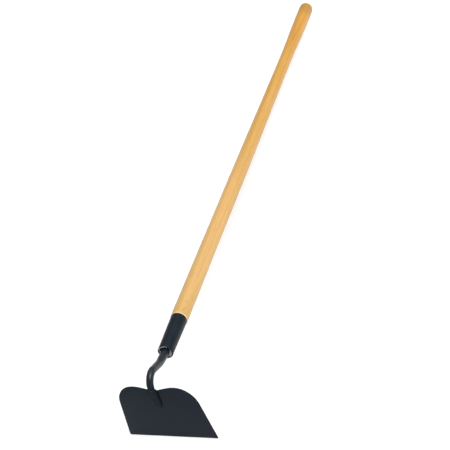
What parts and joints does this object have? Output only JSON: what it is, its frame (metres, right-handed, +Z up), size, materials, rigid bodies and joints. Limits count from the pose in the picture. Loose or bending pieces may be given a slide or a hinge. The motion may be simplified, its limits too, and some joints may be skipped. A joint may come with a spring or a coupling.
{
  "type": "garden hoe",
  "caption": "Long handled garden hoe: notched flat steel blade on a forged swan neck, held by a tapered steel ferrule on a turned wooden stick.",
  "frame": {"origin": "bottom centre of the bounding box, on the floor that the cutting edge and the butt rest on, in the tool's plane of symmetry", "axes": "+Z up, +Y along the floor from the blade towards the butt of the handle, +X across the blade"},
  "size_m": [0.1662, 1.4402, 0.1697],
  "materials": {
    "wood": "clear satin lacquer on turned ash",
    "ferrule_paint": "satin blue-black baked paint",
    "pin_steel": "plain steel",
    "neck_paint": "semi-gloss blue-black baked paint",
    "blade_paint": "matt blue-black baked paint",
    "weld_paint": "painted weld bead"
  },
  "bodies": {
    "root": {"handle": "wood", "ferrule": "ferrule_paint", "ferrule_pin": "pin_steel", "neck": "neck_paint", "blade": "blade_paint", "weld_left": "weld_paint", "weld_right": "weld_paint", "weld_notch": "weld_paint"}
  },
  "joints": []
}
